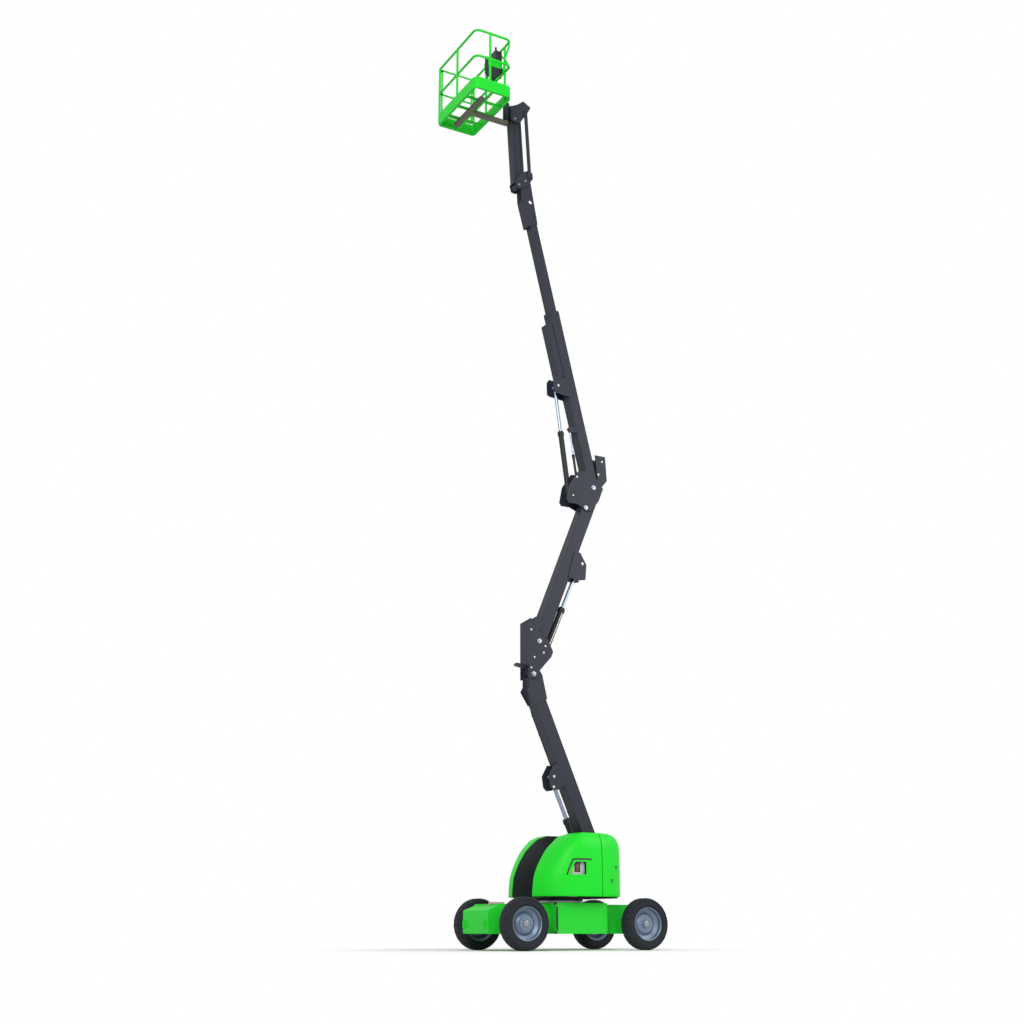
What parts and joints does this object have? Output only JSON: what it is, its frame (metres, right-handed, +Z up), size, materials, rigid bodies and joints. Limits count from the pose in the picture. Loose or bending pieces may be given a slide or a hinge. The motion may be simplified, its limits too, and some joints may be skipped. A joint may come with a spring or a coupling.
{
  "type": "articulated boom lift",
  "caption": "Narrow self-propelled articulated boom lift: folding arms, telescopic boom and jib carry a guard-railed work basket that stays level.",
  "frame": {"origin": "on the ground at the middle of the raised machine's length and width", "axes": "+X forward, towards the basket; +Y to the machine's left; +Z up"},
  "size_m": [3.186, 1.549, 14.174],
  "materials": {
    "paint_green": "gloss",
    "paint_slate": "satin",
    "paint_black": "satin",
    "bearing_steel": "satin",
    "moulded_black": "matte",
    "control_grey": "satin",
    "tyre_rubber": "matte",
    "rim_paint": "gloss",
    "rod_chrome": "polished",
    "support_paint": "satin"
  },
  "bodies": {
    "chassis": {"chassis": "paint_green", "front_axle": "paint_black", "rear_axle": "paint_black", "slew_ring": "bearing_steel"},
    "steer_left": {"knuckle_left": "paint_black"},
    "steer_right": {"knuckle_right": "paint_black"},
    "wheel_front_left": {"tyre_front_left": "tyre_rubber", "rim_front_left": "rim_paint"},
    "wheel_front_right": {"tyre_front_right": "tyre_rubber", "rim_front_right": "rim_paint"},
    "wheel_rear_left": {"tyre_rear_left": "tyre_rubber", "rim_rear_left": "rim_paint"},
    "wheel_rear_right": {"tyre_rear_right": "tyre_rubber", "rim_rear_right": "rim_paint"},
    "turntable": {"turntable": "paint_slate", "counterweight": "paint_green", "channel_liner": "moulded_black", "ground_controls": "control_grey", "engine_block": "paint_black"},
    "hood_left": {"hood_left": "paint_green"},
    "hood_right": {"hood_right": "paint_green"},
    "lower_boom": {"lower_boom": "paint_slate"},
    "lower_cylinder": {"lower_cylinder": "paint_black"},
    "lower_rod": {"lower_rod": "rod_chrome"},
    "mid_knuckle": {"mid_knuckle": "paint_slate"},
    "second_boom": {"second_boom": "paint_slate"},
    "second_cylinder": {"second_cylinder": "paint_black"},
    "second_rod": {"second_rod": "rod_chrome"},
    "top_knuckle": {"top_knuckle": "paint_slate"},
    "main_boom": {"main_boom": "paint_slate", "boom_cover": "paint_slate"},
    "main_cylinder": {"main_cylinder": "paint_black"},
    "main_rod": {"main_rod": "rod_chrome"},
    "level_cylinder": {"level_cylinder": "paint_black"},
    "level_rod": {"level_rod": "rod_chrome"},
    "inner_boom": {"inner_boom": "paint_slate"},
    "jib_base": {"jib_base": "paint_slate"},
    "jib_arm": {"jib_arm": "paint_slate"},
    "jib_tie": {"jib_tie": "paint_slate"},
    "jib_head": {"jib_head": "paint_slate"},
    "basket": {"basket_support": "support_paint", "basket_rails": "paint_green", "basket_floor": "paint_slate", "platform_controls": "moulded_black"},
    "gate": {"basket_gate": "paint_green"}
  },
  "joints": [
    {"name": "slew", "type": "hinge", "parent": "chassis", "child": "turntable", "pos_m": [-0.191, 0, 0.68], "axis": [0, 0, 1], "continuous": true},
    {"name": "steer", "type": "hinge", "parent": "chassis", "child": "steer_left", "pos_m": [0.736, 0.49, 0.355], "axis": [0, 0, 1], "range_deg": [-25, 25]},
    {"name": "steer_right", "type": "hinge", "parent": "chassis", "child": "steer_right", "pos_m": [0.736, -0.49, 0.355], "axis": [0, 0, 1], "range_deg": [-25, 25]},
    {"name": "spin_front_left", "type": "hinge", "parent": "steer_left", "child": "wheel_front_left", "pos_m": [0.736, 0.6715, 0.355], "axis": [0, 1, 0], "continuous": true},
    {"name": "spin_front_right", "type": "hinge", "parent": "steer_right", "child": "wheel_front_right", "pos_m": [0.736, -0.6715, 0.355], "axis": [0, 1, 0], "continuous": true},
    {"name": "spin_rear_left", "type": "hinge", "parent": "chassis", "child": "wheel_rear_left", "pos_m": [-1.238, 0.6715, 0.355], "axis": [0, 1, 0], "continuous": true},
    {"name": "spin_rear_right", "type": "hinge", "parent": "chassis", "child": "wheel_rear_right", "pos_m": [-1.238, -0.6715, 0.355], "axis": [0, 1, 0], "continuous": true},
    {"name": "hood_left_swing", "type": "hinge", "parent": "turntable", "child": "hood_left", "pos_m": [-0.501, 0.745, 1.1], "axis": [0, 0, 1], "range_deg": [0, 70]},
    {"name": "hood_right_swing", "type": "hinge", "parent": "turntable", "child": "hood_right", "pos_m": [-0.501, -0.745, 1.1], "axis": [0, 0, -1], "range_deg": [0, 70]},
    {"name": "lower_lift", "type": "hinge", "parent": "turntable", "child": "lower_boom", "pos_m": [-0.851, 0, 1.26], "axis": [0, -1, 0], "range_deg": [-67, 0]},
    {"name": "mid_level", "type": "hinge", "parent": "lower_boom", "child": "mid_knuckle", "pos_m": [0.249, 0, 3.9], "axis": [0, -1, 0], "range_deg": [0, 67]},
    {"name": "second_lift", "type": "hinge", "parent": "mid_knuckle", "child": "second_boom", "pos_m": [0.149, 0, 4.4], "axis": [0, 1, 0], "range_deg": [-67, 0]},
    {"name": "top_level", "type": "hinge", "parent": "second_boom", "child": "top_knuckle", "pos_m": [-0.711, 0, 6.6], "axis": [0, 1, 0], "range_deg": [0, 67]},
    {"name": "main_lift", "type": "hinge", "parent": "top_knuckle", "child": "main_boom", "pos_m": [-0.861, 0, 6.95], "axis": [0, -1, 0], "range_deg": [-68, 0]},
    {"name": "telescope", "type": "slide", "parent": "main_boom", "child": "inner_boom", "axis": [0.2394, 0, 0.9709], "range_m": [-1.15, 0]},
    {"name": "jib_level", "type": "hinge", "parent": "inner_boom", "child": "jib_base", "pos_m": [0.349, 0, 12.03], "axis": [0, -1, 0], "range_deg": [0, 68]},
    {"name": "jib_lift", "type": "hinge", "parent": "jib_base", "child": "jib_arm", "pos_m": [0.469, 0, 11.93], "axis": [0, -1, 0], "range_deg": [-140, 0]},
    {"name": "jib_tie_swing", "type": "hinge", "parent": "jib_base", "child": "jib_tie", "pos_m": [0.279, 0, 12.12], "axis": [0, -1, 0], "range_deg": [-140, 0]},
    {"name": "basket_level", "type": "hinge", "parent": "jib_arm", "child": "jib_head", "pos_m": [0.544, 0, 13.13], "axis": [0, -1, 0], "range_deg": [0, 140]},
    {"name": "basket_turn", "type": "hinge", "parent": "jib_head", "child": "basket", "pos_m": [0.659, 0, 13.2], "axis": [0, 0, 1], "range_deg": [-80, 80]},
    {"name": "gate_swing", "type": "hinge", "parent": "basket", "child": "gate", "pos_m": [0.973, -0.642, 13.6], "axis": [0, 0, 1], "range_deg": [0, 80]},
    {"name": "lower_foot", "type": "hinge", "parent": "turntable", "child": "lower_cylinder", "pos_m": [-0.751, 0, 0.95], "axis": [0, -1, 0], "range_deg": [-62.88, 0]},
    {"name": "lower_stroke", "type": "slide", "parent": "lower_cylinder", "child": "lower_rod", "axis": [0.4065, 0, 0.9137], "range_m": [-0.34464, 0]},
    {"name": "second_foot", "type": "hinge", "parent": "mid_knuckle", "child": "second_cylinder", "pos_m": [-0.001, 0, 4.225], "axis": [0, 1, 0], "range_deg": [-68.42, 0]},
    {"name": "second_stroke", "type": "slide", "parent": "second_cylinder", "child": "second_rod", "axis": [-0.3977, 0, 0.9175], "range_m": [-0.25183, 0]},
    {"name": "main_foot", "type": "hinge", "parent": "top_knuckle", "child": "main_cylinder", "pos_m": [-0.476, 0, 6.766], "axis": [0, -1, 0], "range_deg": [-73.64, 0]},
    {"name": "main_stroke", "type": "slide", "parent": "main_cylinder", "child": "main_rod", "axis": [0.1345, 0, 0.9909], "range_m": [-0.45177, 0]},
    {"name": "level_foot", "type": "hinge", "parent": "top_knuckle", "child": "level_cylinder", "pos_m": [-0.611, 0, 6.8], "axis": [0, -1, 0], "range_deg": [-72.88, 0]},
    {"name": "level_stroke", "type": "slide", "parent": "level_cylinder", "child": "level_rod", "axis": [0.1447, 0, 0.9895], "range_m": [-0.31695, 0]}
  ],
  "couplings": [
    {"joint": "steer_right", "follows": "steer", "ratio": 1},
    {"joint": "mid_level", "follows": "lower_lift", "ratio": -1},
    {"joint": "top_level", "follows": "second_lift", "ratio": -1},
    {"joint": "jib_level", "follows": "main_lift", "ratio": -1},
    {"joint": "jib_tie_swing", "follows": "jib_lift", "ratio": 1},
    {"joint": "basket_level", "follows": "jib_lift", "ratio": -1},
    {"joint": "lower_foot", "follows": "lower_lift", "ratio": 0.93849},
    {"joint": "lower_stroke", "follows": "lower_lift", "m_per_rad": 0.29471},
    {"joint": "second_foot", "follows": "second_lift", "ratio": 1.0212},
    {"joint": "second_stroke", "follows": "second_lift", "m_per_rad": 0.21535},
    {"joint": "main_foot", "follows": "main_lift", "ratio": 1.0829},
    {"joint": "main_stroke", "follows": "main_lift", "m_per_rad": 0.38065},
    {"joint": "level_foot", "follows": "main_lift", "ratio": 1.0718},
    {"joint": "level_stroke", "follows": "main_lift", "m_per_rad": 0.26705}
  ]
}
